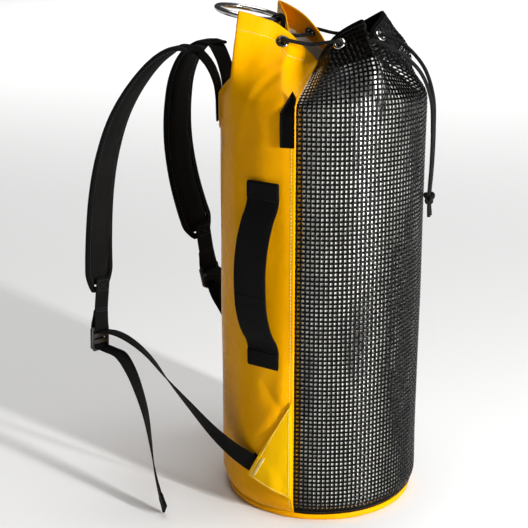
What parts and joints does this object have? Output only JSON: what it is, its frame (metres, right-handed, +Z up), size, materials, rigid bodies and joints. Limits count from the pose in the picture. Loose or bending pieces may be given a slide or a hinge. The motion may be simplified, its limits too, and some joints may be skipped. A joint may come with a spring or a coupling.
{
  "type": "rope storage bag",
  "caption": "Round rope bag: coated yellow back and base, black mesh front, drawn-in collar, shoulder straps, side handle and steel haul ring.",
  "frame": {"origin": "centre of the base, on the surface the bag stands on", "axes": "+Z up, +X towards the mesh front, -Y towards the side handle, straps on -X"},
  "size_m": [0.4706, 0.3602, 0.6874],
  "materials": {
    "yellow_pvc": "semi-gloss coated tarpaulin",
    "black_mesh": "glossy coated open mesh",
    "black_pvc": "satin coated fabric",
    "white_lining": "matt",
    "bright_steel": "polished",
    "dark_steel": "blackened, satin",
    "black_cord": "braided",
    "black_padding": "woven cover over foam",
    "black_plastic": "moulded satin",
    "black_webbing": "woven webbing"
  },
  "bodies": {
    "bag": {"base_panel": "yellow_pvc", "base_rim": "yellow_pvc", "back_panel": "yellow_pvc", "mesh_panel": "black_mesh", "mesh_collar_band": "black_pvc", "inner_liner": "white_lining", "eyelet_1": "bright_steel", "eyelet_2": "bright_steel", "eyelet_3": "bright_steel", "eyelet_4": "dark_steel", "eyelet_5": "dark_steel", "eyelet_6": "dark_steel", "eyelet_7": "dark_steel", "eyelet_8": "bright_steel", "eyelet_washer_1": "bright_steel", "eyelet_washer_2": "bright_steel", "eyelet_washer_3": "bright_steel", "eyelet_washer_4": "dark_steel", "eyelet_washer_5": "dark_steel", "eyelet_washer_6": "dark_steel", "eyelet_washer_7": "dark_steel", "eyelet_washer_8": "bright_steel", "drawcord": "black_cord", "haul_ring_webbing": "black_webbing", "handle_end_upper": "black_webbing", "handle_end_lower": "black_webbing", "strap_yoke_patch": "yellow_pvc", "strap_anchor_left": "black_webbing", "side_tab_left": "yellow_pvc", "tab_webbing_left": "black_webbing", "strap_anchor_right": "black_webbing", "side_tab_right": "yellow_pvc", "tab_webbing_right": "black_webbing"},
    "haul_ring": {"haul_ring": "bright_steel"},
    "side_handle": {"side_handle": "black_webbing"},
    "side_label": {"side_label": "black_pvc"},
    "drawcord_ends": {"drawcord_tail_left": "black_cord", "drawcord_tail_right": "black_cord", "drawcord_knot": "black_cord"},
    "left_strap": {"strap_top_webbing_left": "black_webbing", "strap_pad_left": "black_padding", "lock_webbing_left": "black_webbing", "lower_webbing_left": "black_webbing"},
    "left_lock": {"ladder_lock_left": "black_plastic"},
    "left_tail": {"strap_tail_left": "black_webbing"},
    "right_strap": {"strap_top_webbing_right": "black_webbing", "strap_pad_right": "black_padding", "lock_webbing_right": "black_webbing", "lower_webbing_right": "black_webbing"},
    "right_lock": {"ladder_lock_right": "black_plastic"},
    "right_tail": {"strap_tail_right": "black_webbing"}
  },
  "joints": [
    {"name": "haul_ring_swing", "type": "hinge", "parent": "bag", "child": "haul_ring", "pos_m": [-0.064, 0, 0.667], "axis": [0, 1, 0], "range_deg": [0, 112]},
    {"name": "side_handle_swing", "type": "hinge", "parent": "bag", "child": "side_handle", "pos_m": [-0.0469, -0.1488, 0.348], "axis": [0, 0, 1], "range_deg": [-20, 20]},
    {"name": "side_label_flap", "type": "hinge", "parent": "bag", "child": "side_label", "pos_m": [-0.001, -0.1414, 0.557], "axis": [0, 0, 1], "range_deg": [0, 80]},
    {"name": "drawcord_ends_swing", "type": "hinge", "parent": "bag", "child": "drawcord_ends", "pos_m": [0.07, 0, 0.647], "axis": [0, -1, 0], "range_deg": [0, 60]},
    {"name": "left_strap_swing", "type": "hinge", "parent": "bag", "child": "left_strap", "pos_m": [-0.1497, -0.0268, 0.6014], "axis": [-0.1481, 0.1918, 0.9702], "range_deg": [-8, 30]},
    {"name": "left_lock_tilt", "type": "hinge", "parent": "left_strap", "child": "left_lock", "pos_m": [-0.30059, -0.09383, 0.23582], "axis": [0.2509, 0.9579, -0.1398], "range_deg": [0, 25]},
    {"name": "left_tail_swing", "type": "hinge", "parent": "left_lock", "child": "left_tail", "pos_m": [-0.295, -0.1, 0.203], "axis": [-0.2509, -0.9579, 0.1398], "range_deg": [-2, 28]},
    {"name": "right_strap_swing", "type": "hinge", "parent": "bag", "child": "right_strap", "pos_m": [-0.1497, 0.0268, 0.6014], "axis": [0.1481, 0.1918, -0.9702], "range_deg": [-8, 30]},
    {"name": "right_lock_tilt", "type": "hinge", "parent": "right_strap", "child": "right_lock", "pos_m": [-0.20346, 0.09677, 0.28173], "axis": [0.4596, 0.8735, 0.1605], "range_deg": [0, 25]},
    {"name": "right_tail_swing", "type": "hinge", "parent": "right_lock", "child": "right_tail", "pos_m": [-0.1951, 0.0983, 0.2497], "axis": [-0.4596, -0.8735, -0.1605], "range_deg": [-25, 2]}
  ]
}
